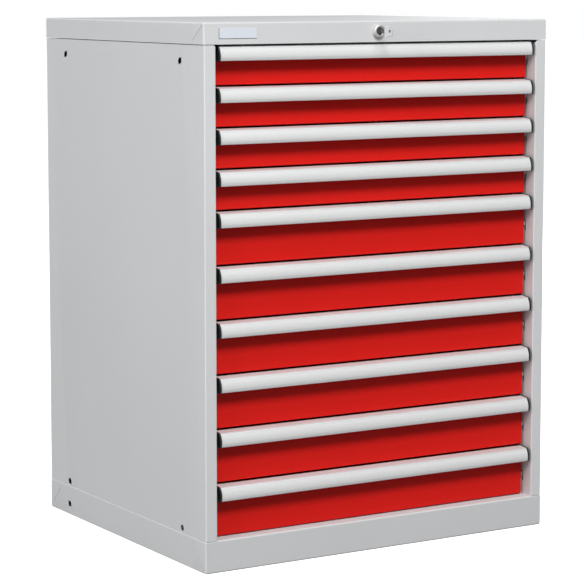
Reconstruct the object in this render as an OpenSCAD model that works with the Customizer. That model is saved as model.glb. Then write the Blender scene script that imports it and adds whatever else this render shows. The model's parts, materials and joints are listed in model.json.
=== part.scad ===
// Stationary drawer cabinet: a sheet-steel housing on a plinth, ten full-extension
// drawers on telescopic slides, and a central lock in the top cover that pushes a
// locking bar down in front of a catch on every drawer.
// X is across the front, +Y runs from the drawer fronts to the back, +Z is up.

/* [Housing] */
// Width across the two side walls
body_w = 760; // [620:10:1000]
// Depth from the face of the posts to the back
body_d = 650; // [600:10:800]
// Height of the plinth
base_h = 60; // [45:5:100]
// Height of the top cover
cover_h = 40; // [38:1:60]
// How far the cover and the plinth stand out past each side wall
skirt_overhang = 1; // [0.5:0.5:2]
// Width of each front post, from the outer face to the drawer opening
post_w = 24; // [22:1:30]
// How far each post runs back beside the drawer fronts
post_d = 38; // [34:1:44]
// Thickness of the housing's sheet
sheet = 1.5; // [1:0.1:2]
// Diameter of the holes in the side walls and the plinth
side_hole_d = 12; // [8:1:14]

/* [Drawers] */
// Number of low drawers, counted from the top
low_drawers = 4; // [0:1:10]
// Height that a low drawer takes up
low_h = 75; // [75:5:100]
// Height that a high drawer takes up
high_h = 100; // [75:5:150]
// How far the red fronts sit behind the posts' face
front_setback = 25; // [24:1:26]
// Gap between a drawer front and the post beside it
front_gap = 5.5; // [4:0.5:7]
// Depth of a folded drawer front
front_pan_d = 18; // [14:1:20]
// Thickness of the drawer sheet
drawer_sheet = 1.2; // [0.8:0.1:1.5]

/* [Handles] */
// Radius of the handle's curved face
grip_r = 27; // [26:0.5:30]
// Height of the handle profile
grip_h = 27.6; // [25:0.1:29]
// Wall thickness of the handle profile
grip_wall = 1.8; // [1.4:0.1:2.2]
// Thickness of the plastic end cap on each end of a handle
cap_t = 3; // [2:0.5:5]

/* [Slides] */
// Height of the slide channels
slide_h = 34; // [28:1:36]
// How far a drawer pulls out
travel = 600; // [500:10:600]

/* [Lock] */
// Distance of the lock's axis from the middle of the cover
lock_x = -10; // [-200:10:200]
// Diameter of the lock's outer ring
lock_d = 24; // [20:1:24]
// How far the lock's ring stands out from the cover
lock_proud = 7; // [3:1:9]
// How far the key stands out from the cover
key_reach = 48; // [40:1:60]
// How far the locking bar drops when the key is turned a quarter turn
bar_drop = 8; // [6:1:9]

/* [Hidden] */
$fn = 48;
eps = 0.01;
drawers = 10;
function drawer_h(i) = i < low_drawers ? low_h : high_h;
function drawers_above(i) = i <= 0 ? 0 : drawer_h(i - 1) + drawers_above(i - 1);
total_h = base_h + drawers_above(drawers) + cover_h;
body_top = total_h - cover_h;
function drawer_top(i) = body_top - drawers_above(i);
function drawer_bottom(i) = drawer_top(i) - drawer_h(i);

front_y = (key_reach - body_d) / 2;  // the posts' face; the footprint with the key is centred on Y
half_w = body_w / 2;
skirt_x = half_w + skirt_overhang;
opening_x = half_w - post_w;
skirt_edge = 15;                     // inward fold along a skirt's free edge

post_lap = post_w - 8;               // how far a post's rear fold reaches towards the wall
upright_ys = [90, body_d - 88];      // the four uprights that carry the slides
upright_w = 40;
upright_x = opening_x + sheet;
wall_flange_y = 120;                 // where a side wall's top flange begins and ends
cut = 5;                             // how far a drill runs past the sheet it cuts
drill_room = 4;                      // an upright's hole is this much wider than the wall's
side_hole_zs = [base_h + 9, body_top - 30];
plinth_hole_z = 22.5;
plinth_fold = 25;                    // the plinth's inward fold on the floor
back_pan_d = 14;
back_side_gap = 2.5;                 // beside the back pan
back_gap = 0.2;                      // between the back pan and the rear folds

slide_gap = 1.2;                     // sideways between the slide members
plate_t = 2;
runner_w = 11;
rail_x1 = upright_x;                 // slide members, from the wall inwards
rail_x0 = rail_x1 - 12;
plate_x1 = rail_x0 - slide_gap;
plate_x0 = plate_x1 - plate_t;
runner_x1 = plate_x0 - slide_gap;
tray_x = runner_x1 - runner_w;
rail_y0 = 60;
rail_y1 = body_d - 32;
carriage_y0 = rail_y0 + 2;
carriage_y1 = rail_y1 - 10;
runner_y0 = 50;
runner_y1 = rail_y1 - 6;
slide_z = 14;                        // slide channels above the drawer's bottom
slide_t = 1.5;
roller_r = (slide_h - 2 * slide_t) / 2 - 0.5;
roller_w = 8.5;
roller_inset = 3;                    // between a roller and the end of its plate
rail_overlap = 10;                   // left in the rail beside a roller at full travel
runner_overlap = 7;

front_x = opening_x - front_gap;
front_y0 = front_setback;
front_y1 = front_setback + front_pan_d;
front_foot = 2;                      // gap under a drawer front
front_head = 4;                      // a front's top below the drawer's top
tray_y1 = rail_y1;
tray_foot = 4;
tray_headroom = 16;                  // a tray's rim below the drawer's top
rim_w = 6;
rim_h = 8;
function tray_h(i) = drawer_h(i) - tray_foot - tray_headroom;

grip_top = -1.3;                     // handle heights count down from the drawer's top
grip_edge = -3.5;                    // groove between the ledge and the curved face
grip_mid = -21;                      // height at which the curved face is furthest forward
grip_proud = 1.5;                    // how far it then stands in front of the posts
grip_y = grip_r - grip_proud;
grip_low = grip_top - grip_h;
bead_r = 1.6;
grip_flange_h = 20;
grip_step = 1.5;                     // the ledge's front edge, down to its underside
ledge_y = 5;                         // the ledge's front edge behind the posts' face
cap_gap = 0.5;                       // between a cap's outer face and the front's edge
cap_back_gap = 0.2;                  // between a cap and the red front
cap_lip = 0.8;                       // the cap's outline past the profile's

bar_t = 3;                           // the arm, the strip and the tabs are all this thick
joint_gap = 0.05;                    // between plates that are riveted together
tab_lift = 1;                        // a tab's height above its catch at rest
tab_end = 2;                         // from a tab's outer end to the strip's edge
arm_end = 14;                        // the arm's reach past the lock's axis
bar_y0 = 27;
bar_x0 = opening_x + 4;
bar_x1 = bar_x0 + 12;
arm_h = 16;
tab_h = 8;
tab_reach = 4;                       // a tab's reach past the post into the drawer gap
catch_w = 4.5;
catch_y0 = bar_y0 + bar_t + 3;       // behind a tab, and beside the strip
catch_t = 5;
catch_z = 28;                        // a catch's bottom above the drawer's bottom
slot_room = 1.5;
lock_z = body_top + cover_h / 2 + 1;
cam_r = bar_drop / (2 * sin(45));    // a quarter turn about the level moves the pin by bar_drop
cam_pin_d = 5;
pin_room = 0.6;
barrel_d = 19;
plug_d = 14;
plug_room = 0.05;
plug_back = 21;
cam_y0 = 20.5;
cam_y1 = 24.5;
pin_past = 2;                        // the pin's end behind the arm
keyway_w = 2.6;
keyway_h = 8.4;
keyway_y1 = 15;
key_t = 2;
key_blade_h = 8;
key_blade_y1 = 14;
key_bow_h = 22;
key_bow_l = 28;
key_bow_round = 30;                  // the circle that rounds the bow's corners
key_ring_d = 5;
key_ring_y = 9;                      // the ring hole's centre from the bow's end

function two_digits(n) = str(n < 10 ? "0" : "", n);
function drawer_node(i, piece) = str("drawer_", two_digits(i + 1), "_", piece);
DRAWER_PIECES = ["tray", "front", "handle", "end_caps", "carriages"];

// ---------------------------------------------------------------- helpers

// A box between two corners
module block(lo, hi) {
    translate(lo) cube(hi - lo);
}

// The same shape on the left and on the right
module both_sides() {
    children();
    mirror([1, 0, 0]) children();
}

// A profile drawn in Y and Z, run along X over a length centred on the cabinet
module along_x(length) {
    rotate([90, 0, 90]) linear_extrude(height = length, center = true) children();
}

// A profile drawn in X and Z, run along Y from y0 to y1
module along_y(y0, y1) {
    translate([0, y1, 0]) rotate([90, 0, 0]) linear_extrude(height = y1 - y0) children();
}

// A round hole or pin along X or Y
module round_x(x0, x1, y, z, d) {
    translate([x0, y, z]) rotate([0, 90, 0]) cylinder(h = x1 - x0, d = d);
}

module round_y(y0, y1, x, z, d) {
    translate([x, y1, z]) rotate([90, 0, 0]) cylinder(h = y1 - y0, d = d);
}

// ---------------------------------------------------------------- housing

// One side wall's plan: the wall, its folded front post, its rear fold and two welded uprights
module side_wall_plan() {
    translate([half_w - sheet, 0]) square([sheet, body_d]);
    translate([opening_x, 0]) square([post_w, sheet]);
    translate([opening_x, 0]) square([sheet, post_d]);
    translate([opening_x, post_d - sheet]) square([post_lap, sheet]);
    translate([half_w - skirt_edge, body_d - sheet]) square([skirt_edge, sheet]);
    for (y = upright_ys) {
        translate([upright_x, y - upright_w / 2]) square([sheet, upright_w]);
        for (edge = [y - upright_w / 2, y + upright_w / 2 - sheet])
            translate([upright_x, edge]) square([half_w - upright_x - sheet / 2, sheet]);
    }
}

module side_wall(bar_slots) {
    difference() {
        union() {
            translate([0, 0, base_h]) linear_extrude(height = body_top - base_h) side_wall_plan();
            block([opening_x + sheet, wall_flange_y, body_top - sheet],
                  [half_w, body_d - wall_flange_y, body_top]);
        }
        for (y = upright_ys) for (z = side_hole_zs) {
            round_x(half_w - cut, half_w + cut, y, z, side_hole_d);
            round_x(upright_x - cut, upright_x + cut, y, z, side_hole_d + drill_room);
        }
        if (bar_slots) for (i = [0 : drawers - 1]) {
            z = drawer_bottom(i) + catch_z;
            block([opening_x - 1, bar_y0 - slot_room, z - slot_room],
                  [opening_x + sheet + 1, bar_y0 + bar_t + slot_room,
                   z + bar_drop + tab_lift + tab_h + slot_room]);
        }
    }
}

module left_side_wall() {
    color("silver") mirror([1, 0, 0]) side_wall(false);
}

module right_side_wall() {
    color("silver") side_wall(true);
}

// The back: a shallow pan that stands inside the side walls' rear folds
module back_panel() {
    x = half_w - sheet - back_side_gap;
    y0 = body_d - sheet - back_gap - back_pan_d;
    y1 = body_d - sheet - back_gap;
    z0 = base_h + 1;
    z1 = body_top - 1;
    color("silver") difference() {
        block([-x, y0, z0], [x, y1, z1]);
        block([-x + sheet, y0 - eps, z0 + sheet], [x - sheet, y1 - sheet, z1 - sheet]);
    }
}

// A pan open at the bottom, with its free edges folded in
module skirted_pan(z0, z1, edge_front, edge_sides) {
    difference() {
        block([-skirt_x, 0, z0], [skirt_x, body_d, z1]);
        block([-skirt_x + sheet, sheet, z0 + sheet], [skirt_x - sheet, body_d - sheet, z1 - sheet]);
        block([-skirt_x + max(sheet, edge_sides), max(sheet, edge_front), z0 - 1],
              [skirt_x - max(sheet, edge_sides), body_d - max(sheet, edge_sides), z0 + sheet + eps]);
    }
}

module top_cover() {
    color("gainsboro") difference() {
        skirted_pan(body_top, total_h, skirt_edge, 0);
        round_y(-1, sheet + 1, lock_x, lock_z, barrel_d + 0.1);
    }
}

// The plinth and the cabinet's floor, folded from one sheet and welded at the corners
module base() {
    color("gainsboro") difference() {
        skirted_pan(0, base_h, plinth_fold, plinth_fold);
        for (side = [-1, 1])
            round_x(side * skirt_x - cut, side * skirt_x + cut, upright_ys[1], plinth_hole_z,
                    side_hole_d);
    }
}

// The outer members of the slides: channels that hang on the uprights
module cabinet_rail(i) {
    z = drawer_bottom(i) + slide_z;
    difference() {
        block([rail_x0, rail_y0, z], [rail_x1, rail_y1, z + slide_h]);
        block([rail_x0 - eps, rail_y0 - 1, z + slide_t],
              [rail_x1 - slide_t, rail_y1 + 1, z + slide_h - slide_t]);
    }
}

module cabinet_rails() {
    color("darkgray") both_sides() for (i = [0 : drawers - 1]) cabinet_rail(i);
}

// ---------------------------------------------------------------- drawers

module drawer_tray(i) {
    z0 = drawer_bottom(i) + tray_foot;
    z1 = z0 + tray_h(i);
    zs = drawer_bottom(i) + slide_z;
    t = drawer_sheet;
    color("lightgray") union() {
        difference() {
            block([-tray_x, front_y1, z0], [tray_x, tray_y1, z1]);
            block([-tray_x + t, front_y1 + t, z0 + t], [tray_x - t, tray_y1 - t, z1 + 1]);
        }
        both_sides() {
            block([tray_x - t, front_y1, z1 - t], [tray_x + rim_w, tray_y1, z1]);
            block([tray_x + rim_w - t, front_y1, z1 - rim_h], [tray_x + rim_w, tray_y1, z1]);
            difference() {
                block([tray_x - t / 2, runner_y0, zs], [runner_x1, runner_y1, zs + slide_h]);
                block([tray_x + slide_t, runner_y0 - 1, zs + slide_t],
                      [runner_x1 + 1, runner_y1 + 1, zs + slide_h - slide_t]);
            }
        }
    }
}

// The front: a folded pan, with the catch for the locking bar on its right edge
module drawer_front(i) {
    z0 = drawer_bottom(i) + front_foot;
    z1 = drawer_top(i) - front_head;
    t = drawer_sheet;
    zc = drawer_bottom(i) + catch_z;
    color("red") {
        difference() {
            block([-front_x, front_y0, z0], [front_x, front_y1, z1]);
            block([-front_x + t, front_y0 + t, z0 + t], [front_x - t, front_y1 + 1, z1 - t]);
        }
        block([front_x + joint_gap, catch_y0, zc], [front_x + catch_w, catch_y0 + catch_t, zc + tab_h]);
    }
}

// The handle's curved face, as a slice of a tube
module grip_face() {
    intersection() {
        translate([grip_y, grip_mid]) difference() {
            circle(r = grip_r, $fn = 180);
            circle(r = grip_r - grip_wall, $fn = 180);
        }
        translate([-grip_proud - 1, grip_low]) square([grip_proud + 10, grip_edge - grip_low]);
    }
}

// The sloping ledge along the handle's top, and the flange that lies against the front
module grip_ledge() {
    back_y = front_setback - grip_wall;
    polygon([[ledge_y, grip_edge], [front_setback, grip_top], [front_setback, grip_top - grip_flange_h],
             [back_y, grip_top - grip_flange_h], [back_y, grip_top - grip_wall],
             [ledge_y + grip_wall, grip_edge - grip_wall - 0.4], [ledge_y, grip_edge - grip_step]]);
}

module drawer_handle(i) {
    length = 2 * (front_x - cap_gap - cap_t);
    bead_z = grip_low + bead_r;
    bead_y = grip_y - sqrt(pow(grip_r - bead_r - 0.1, 2) - pow(bead_z - grip_mid, 2));
    color("whitesmoke") translate([0, 0, drawer_top(i)]) union() {
        along_x(length) grip_face();
        along_x(length) grip_ledge();
        along_x(length) translate([bead_y, bead_z]) circle(r = bead_r);
    }
}

// Outline of an end cap: the handle's outer shape, closed across the finger space
module cap_profile() {
    y1 = front_setback - cap_back_gap;
    intersection() {
        translate([grip_y, grip_mid]) circle(r = grip_r + cap_lip, $fn = 180);
        polygon([[-grip_proud - cap_lip - 1, grip_edge + cap_lip], [ledge_y, grip_edge + cap_lip],
                 [y1, grip_top + cap_lip], [y1, grip_low - cap_lip],
                 [-grip_proud - cap_lip - 1, grip_low - cap_lip]]);
    }
}

module drawer_end_caps(i) {
    color("black") both_sides()
        translate([front_x - cap_gap - cap_t / 2, 0, drawer_top(i)]) along_x(cap_t) cap_profile();
}

// The middle members of the slides: plates whose outer rollers run in the cabinet's rails
// and whose inner rollers carry the tray's runners
module carriage(i) {
    z = drawer_bottom(i) + slide_z + slide_h / 2;
    plate_h = 2 * roller_r;
    block([plate_x0, carriage_y0, z - plate_h / 2], [plate_x1, carriage_y1, z + plate_h / 2]);
    for (y = [rail_y0 + travel / 2 + roller_r + rail_overlap, carriage_y1 - roller_r - roller_inset])
        round_x(plate_x1 - eps, plate_x1 + roller_w + slide_gap, y, z, 2 * roller_r);
    for (y = [carriage_y0 + roller_r + roller_inset, runner_y1 - travel / 2 - roller_r - runner_overlap])
        round_x(plate_x0 - roller_w - slide_gap, plate_x0 + eps, y, z, 2 * roller_r);
}

module drawer_carriages(i) {
    color("darkgray") both_sides() carriage(i);
}

// ---------------------------------------------------------------- lock

// The fixed part of the lock: a flanged barrel in the cover's front
module lock_housing() {
    color("silver") difference() {
        union() {
            round_y(-lock_proud, 0, lock_x, lock_z, lock_d);
            round_y(-eps, 20, lock_x, lock_z, barrel_d);
        }
        round_y(-lock_proud - 1, plug_back, lock_x, lock_z, plug_d + 2 * plug_room);
    }
}

// The turning part: the plug, its cam disc and the pin that moves the locking bar
module lock_plug() {
    pin_x = lock_x + cam_r * cos(45);
    pin_z = lock_z + cam_r * sin(45);
    color("gray") difference() {
        union() {
            round_y(-lock_proud + 1, plug_back, lock_x, lock_z, plug_d);
            round_y(cam_y0, cam_y1, lock_x, lock_z, lock_d - 4);
            round_y(cam_y1 - 0.5, bar_y0 + bar_t + pin_past, pin_x, pin_z, cam_pin_d);
        }
        block([lock_x - keyway_w / 2, -lock_proud, lock_z - keyway_h / 2],
              [lock_x + keyway_w / 2, keyway_y1, lock_z + keyway_h / 2]);
    }
}

// The key: a flat blade in the plug and an upright bow with a ring hole
module key() {
    blade_y0 = -key_reach + key_bow_l - 3;
    color("lightgray") rotate([0, 90, 0]) translate([-lock_z, 0, lock_x - key_t / 2]) difference() {
        linear_extrude(height = key_t) {
            translate([-key_blade_h / 2, blade_y0]) square([key_blade_h, key_blade_y1 - blade_y0]);
            translate([0, -key_reach + key_bow_l / 2]) intersection() {
                square([key_bow_h, key_bow_l], center = true);
                circle(d = key_bow_round);
            }
        }
        translate([0, -key_reach + key_ring_y, -1]) cylinder(h = key_t + 2, d = key_ring_d);
    }
}

// The locking bar: an arm over the drawers that the lock's pin moves and a tab for each
// drawer, all riveted to the front of an upright strip inside the right post
module locking_bar() {
    pin_x = lock_x + cam_r * cos(45);
    pin_z = lock_z + cam_r * sin(45);
    slot_w = cam_pin_d + 2 * pin_room;
    strip_y0 = bar_y0 + bar_t + joint_gap;
    color("gray") {
        along_y(bar_y0, bar_y0 + bar_t) difference() {
            translate([lock_x - arm_end, pin_z - arm_h / 2]) square([bar_x1 - lock_x + arm_end, arm_h]);
            translate([pin_x + (cam_r - cam_r * cos(45)) / 2, pin_z])
                square([slot_w + cam_r - cam_r * cos(45), slot_w], center = true);
        }
        block([bar_x0, strip_y0, drawer_bottom(drawers - 1) + catch_z],
              [bar_x1, strip_y0 + bar_t, pin_z + arm_h / 2]);
        for (i = [0 : drawers - 1]) {
            z = drawer_bottom(i) + catch_z + bar_drop + tab_lift;
            block([opening_x - tab_reach, bar_y0, z], [bar_x1 - tab_end, bar_y0 + bar_t, z + tab_h]);
        }
    }
}

// ---------------------------------------------------------------- nodes

translate([0, front_y, 0]) {
    left_side_wall();
    right_side_wall();
    back_panel();
    top_cover();
    base();
    cabinet_rails();
    lock_housing();
    lock_plug();
    key();
    locking_bar();
    for (i = [0 : drawers - 1]) {
        drawer_tray(i);
        drawer_front(i);
        drawer_handle(i);
        drawer_end_caps(i);
        drawer_carriages(i);
    }
}
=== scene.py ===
import json
import math
import bmesh
import bpy
from mathutils import Matrix, Vector


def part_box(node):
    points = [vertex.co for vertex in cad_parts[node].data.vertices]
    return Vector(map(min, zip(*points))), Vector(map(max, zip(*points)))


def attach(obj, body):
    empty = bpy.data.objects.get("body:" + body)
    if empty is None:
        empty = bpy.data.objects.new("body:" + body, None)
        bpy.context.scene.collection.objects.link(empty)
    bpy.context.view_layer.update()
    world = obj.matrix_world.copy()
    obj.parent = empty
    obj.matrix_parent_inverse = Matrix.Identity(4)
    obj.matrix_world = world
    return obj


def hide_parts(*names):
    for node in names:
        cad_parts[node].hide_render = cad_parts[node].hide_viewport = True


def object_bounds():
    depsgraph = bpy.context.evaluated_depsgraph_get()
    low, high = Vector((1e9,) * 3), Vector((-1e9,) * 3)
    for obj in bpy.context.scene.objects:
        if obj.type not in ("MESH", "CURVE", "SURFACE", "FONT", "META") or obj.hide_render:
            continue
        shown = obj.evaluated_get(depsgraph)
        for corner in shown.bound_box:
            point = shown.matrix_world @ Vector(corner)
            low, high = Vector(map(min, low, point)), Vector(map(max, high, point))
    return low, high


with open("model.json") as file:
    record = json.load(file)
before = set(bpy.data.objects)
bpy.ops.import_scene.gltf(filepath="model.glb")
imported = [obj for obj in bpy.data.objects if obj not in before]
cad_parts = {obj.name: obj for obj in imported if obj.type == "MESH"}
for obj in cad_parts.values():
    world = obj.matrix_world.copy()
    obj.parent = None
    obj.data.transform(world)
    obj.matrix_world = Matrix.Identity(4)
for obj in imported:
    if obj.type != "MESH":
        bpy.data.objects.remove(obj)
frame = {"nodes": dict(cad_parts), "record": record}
cadLow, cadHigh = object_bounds()

mm = 0.001
axisX, axisY, axisZ = 0, 1, 2
touching = 0.1 * mm        # how close counts as touching, when edges are picked
foldAngle = 0.5            # a turn of more than this many radians is a fold
squareAngle = 1.2          # and one of more than this is a square corner

# fixed places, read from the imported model
wallLow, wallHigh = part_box("right_side_wall")
coverLow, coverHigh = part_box("top_cover")
baseLow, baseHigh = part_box("base")
backLow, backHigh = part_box("back_panel")
railLow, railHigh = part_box("cabinet_rails")
ringLow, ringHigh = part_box("lock_housing")
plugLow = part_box("lock_plug")[0]
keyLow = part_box("key")[0]
frontY = wallLow.y
backY = wallHigh.y
lockX = (ringLow.x + ringHigh.x) / 2
lockZ = (ringLow.z + ringHigh.z) / 2
drawerNames = sorted({name[:9] for name in frame["nodes"] if name.startswith("drawer_")})


def at(x, y, z):
    # a place in millimetres, y counted from the face of the posts
    return Vector((x * mm, frontY + y * mm, z * mm))


def vertsOf(parts):
    return [part for part in parts if isinstance(part, bmesh.types.BMVert)]


def roundEdges(bm, edges, radius, segments=3):
    if edges and radius:
        bmesh.ops.bevel(bm, geom=list(edges), offset=radius, offset_type="OFFSET", segments=segments,
                        profile=0.5, affect="EDGES", material=-1, clamp_overlap=True)
        bm.normal_update()


def roundCorners(bm, verts, radius):
    # corners of a flat face
    bmesh.ops.bevel(bm, geom=verts, offset=radius, offset_type="OFFSET", segments=5, profile=0.5,
                    affect="VERTICES", material=-1, clamp_overlap=True)
    bm.normal_update()


def openEdges(bm):
    return [edge for edge in bm.edges if len(edge.link_faces) == 1]


def foldEdges(bm, turn=0.0):
    return [edge for edge in bm.edges if len(edge.link_faces) == 2 and edge.calc_face_angle(0) >= turn]


def drawOut(bm, edges, run):
    # edges pulled along run into faces; gives back the new far edges
    made = bmesh.ops.extrude_edge_only(bm, edges=list(edges))["geom"]
    bmesh.ops.translate(bm, verts=vertsOf(made), vec=run)
    bm.normal_update()
    return [part for part in made if isinstance(part, bmesh.types.BMEdge)]


def addPath(bm, points):
    corners = [bm.verts.new(point) for point in points]
    return [bm.edges.new(pair) for pair in zip(corners, corners[1:])]


def foldedSheet(points, run, bend, segments=4):
    # a folded profile drawn out along run, its folds rounded
    bm = bmesh.new()
    drawOut(bm, addPath(bm, points), run)
    roundEdges(bm, foldEdges(bm), bend, segments)
    return bm


def faceAway(bm, inside):
    # an open skin's faces all point away from a place inside it
    bmesh.ops.recalc_face_normals(bm, faces=bm.faces[:])
    largest = max(bm.faces, key=lambda face: face.calc_area())
    if largest.normal.dot(Vector(inside) - largest.calc_center_median()) > 0:
        bmesh.ops.reverse_faces(bm, faces=bm.faces[:])


def thicken(bm, thickness):
    bmesh.ops.solidify(bm, geom=bm.faces[:], thickness=thickness)
    bmesh.ops.recalc_face_normals(bm, faces=bm.faces[:])


def faceAt(bm, place, axis):
    # the flat face square to the axis that holds this place
    for face in bm.faces:
        if abs(face.normal[axis]) < 0.99:
            continue
        if abs(face.verts[0].co[axis] - place[axis]) > 0.05 * mm:
            continue
        if bmesh.geometry.intersect_face_point(face, place):
            return face
    raise ValueError(f"no face holds {tuple(place)}")


def cutFace(bm, face, place, normal):
    geom = [face, *face.edges, *face.verts]
    bmesh.ops.bisect_plane(bm, geom=geom, dist=1e-6, plane_co=place, plane_no=normal)
    bm.normal_update()


def cutWindow(bm, place, axis, halves):
    # cuts a rectangle free inside a flat face and gives that rectangle back
    for other in (axisX, axisY, axisZ):
        if other == axis:
            continue
        for sign in (-1, 1):
            normal = Vector((0, 0, 0))
            normal[other] = sign
            cutFace(bm, faceAt(bm, place, axis), place + normal * halves[other], normal)
    return faceAt(bm, place, axis)


def openWindow(bm, place, axis, halves):
    bmesh.ops.delete(bm, geom=[cutWindow(bm, place, axis, halves)], context="FACES")


def punchHole(bm, place, axis, radius, cuts=5):
    # a round hole: a square is cut free and bridged to a circle
    reach = radius * 1.3
    window = cutWindow(bm, place, axis, (reach, reach, reach))
    square = list(window.edges)
    bmesh.ops.delete(bm, geom=[window], context="FACES_ONLY")
    bmesh.ops.subdivide_edges(bm, edges=square, cuts=cuts)
    rim = [edge for edge in bm.edges if len(edge.link_faces) == 1
           and all(max(map(abs, vert.co - place)) < reach + 0.01 * mm for vert in edge.verts)]
    turn = Matrix.Identity(4)
    if axis != axisZ:
        turn = Matrix.Rotation(math.pi / 2, 4, "Y" if axis == axisX else "X")
    circle = bmesh.ops.create_circle(bm, segments=4 * (cuts + 1), radius=radius,
                                     matrix=Matrix.Translation(place) @ turn)["verts"]
    ring = {edge for vert in circle for edge in vert.link_edges}
    bmesh.ops.bridge_loops(bm, edges=rim + list(ring))
    bm.normal_update()


def scribe(bm, place, axis, normal, width, depth):
    # a narrow groove where a plane crosses the face that holds this place
    normal = Vector(normal).normalized()
    for sign in (-1, 1):
        cutFace(bm, faceAt(bm, place, axis), place + normal * sign * width / 2, normal * sign)
    bmesh.ops.inset_region(bm, faces=[faceAt(bm, place, axis)], thickness=width * 0.2, depth=-depth)
    bm.normal_update()


def addBlock(bm, low, high, rounding=0.0, segments=2):
    low, high = Vector(low), Vector(high)
    shape = Matrix.Translation((low + high) / 2) @ Matrix.Diagonal((*(high - low), 1))
    made = bmesh.ops.create_cube(bm, size=1, matrix=shape)["verts"]
    bm.normal_update()
    edges = {edge for vert in made for edge in vert.link_edges}
    roundEdges(bm, edges, rounding, segments)


def addLathe(bm, profile, centre, axis, steps=32, closed=False):
    # (radius, distance) pairs turned once round an axis; gives back the new faces
    before = set(bm.faces)
    axis = Vector(axis).normalized()
    side = axis.orthogonal().normalized()
    points = [bm.verts.new(Vector(centre) + side * r + axis * d) for r, d in profile]
    pairs = list(zip(points, points[1:])) + ([(points[-1], points[0])] if closed else [])
    edges = [bm.edges.new(pair) for pair in pairs]
    bmesh.ops.spin(bm, geom=points + edges, cent=centre, axis=axis, angle=2 * math.pi,
                   steps=steps, use_merge=True, use_duplicate=False)
    near = {vert for face in set(bm.faces) - before for vert in face.verts}
    bmesh.ops.remove_doubles(bm, verts=list(near), dist=1e-6)
    made = [face for face in bm.faces if face not in before]
    bmesh.ops.recalc_face_normals(bm, faces=made)
    return made


def addPrism(bm, outline, run, rounding=0.0):
    # an outline of places filled and drawn out along run
    face = bm.faces.new([bm.verts.new(point) for point in outline])
    made = bmesh.ops.extrude_face_region(bm, geom=[face])["geom"]
    bmesh.ops.translate(bm, verts=vertsOf(made), vec=run)
    faces = {part for part in made if isinstance(part, bmesh.types.BMFace)} | {face}
    faces |= {near for part in list(faces) for edge in part.edges for near in edge.link_faces}
    bmesh.ops.recalc_face_normals(bm, faces=list(faces))
    bm.normal_update()
    ends = [part for part in faces if abs(part.normal.dot(Vector(run).normalized())) > 0.99]
    rim = {edge for end in ends for edge in end.edges}
    long = {edge for part in faces for edge in part.edges} - rim
    roundEdges(bm, [edge for edge in long if edge.calc_face_angle(0) > 0.3], rounding)


def mirrorCopy(bm):
    # the same shape again on the other side of the cabinet
    copied = bmesh.ops.duplicate(bm, geom=bm.verts[:] + bm.edges[:] + bm.faces[:])["geom"]
    flip(bm, vertsOf(copied), [part for part in copied if isinstance(part, bmesh.types.BMFace)])


def flip(bm, verts, faces):
    bmesh.ops.scale(bm, vec=(-1, 1, 1), verts=verts)
    bmesh.ops.reverse_faces(bm, faces=faces)


def finishPiece(name, bm, finishes, body, replaces=(), sharpAngle=40):
    loose = [edge for edge in bm.edges if not edge.link_faces]
    bmesh.ops.delete(bm, geom=loose, context="EDGES")
    mesh = bpy.data.meshes.new(name)
    bm.to_mesh(mesh)
    bm.free()
    for finish in finishes:
        mesh.materials.append(finish)
    mesh.shade_smooth()
    mesh.set_sharp_from_angle(angle=math.radians(sharpAngle))
    piece = bpy.data.objects.new(name, mesh)
    bpy.context.scene.collection.objects.link(piece)
    weighted = piece.modifiers.new("evenShading", "WEIGHTED_NORMAL")
    weighted.keep_sharp = True
    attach(piece, body)
    if replaces:
        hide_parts(*replaces)
    return piece


def addNode(tree, kind, inputs=None, **settings):
    node = tree.nodes.new("ShaderNode" + kind)
    for key, value in settings.items():
        setattr(node, key, value)
    for key, value in (inputs or {}).items():
        if isinstance(value, bpy.types.NodeSocket):
            tree.links.new(value, node.inputs[key])
        else:
            node.inputs[key].default_value = value
    return node


def newGroup(name, inputs, outputs):
    group = bpy.data.node_groups.new(name, "ShaderNodeTree")
    for label, (kind, value) in inputs.items():
        socket = group.interface.new_socket(name=label, in_out="INPUT", socket_type="NodeSocket" + kind)
        socket.default_value = value
    for label, kind in outputs.items():
        group.interface.new_socket(name=label, in_out="OUTPUT", socket_type="NodeSocket" + kind)
    start = group.nodes.new("NodeGroupInput")
    end = group.nodes.new("NodeGroupOutput")
    return group, start, end


def spread(tree, value, low, high, toLow, toHigh):
    ranged = addNode(tree, "MapRange", {0: value, 1: low, 2: high, 3: toLow, 4: toHigh}, clamp=True)
    return ranged.outputs[0]


def scaled(tree, colour, factor):
    return addNode(tree, "VectorMath", {0: colour, 3: factor}, operation="SCALE").outputs[0]


def blended(tree, factor, first, second):
    return addNode(tree, "Mix", {0: factor, 6: first, 7: second}, data_type="RGBA").outputs[2]


def joined(tree, operation, first, second):
    return addNode(tree, "Math", {0: first, 1: second}, operation=operation).outputs[0]


def edgeHighlightGroup():
    # a mask that is 1 along outer edges, broken up by noise, where a painted highlight lightens the edges
    group, start, end = newGroup("edgeHighlight", {"Breakup": ("Float", 0.5)}, {"Mask": "Float"})
    place = addNode(group, "TexCoord").outputs["Object"]
    point = addNode(group, "NewGeometry").outputs["Pointiness"]
    edges = spread(group, point, 0.53, 0.62, 0.0, 1.0)
    broken = addNode(group, "TexNoise", {"Vector": place, "Scale": 160.0, "Detail": 3.0}).outputs["Fac"]
    kept = spread(group, broken, 0.35, 0.65, 0.0, 1.0)
    softened = addNode(group, "Mix", {0: start.outputs["Breakup"], 2: 1.0, 3: kept}).outputs[0]
    group.links.new(joined(group, "MULTIPLY", edges, softened), end.inputs["Mask"])
    return group


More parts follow.
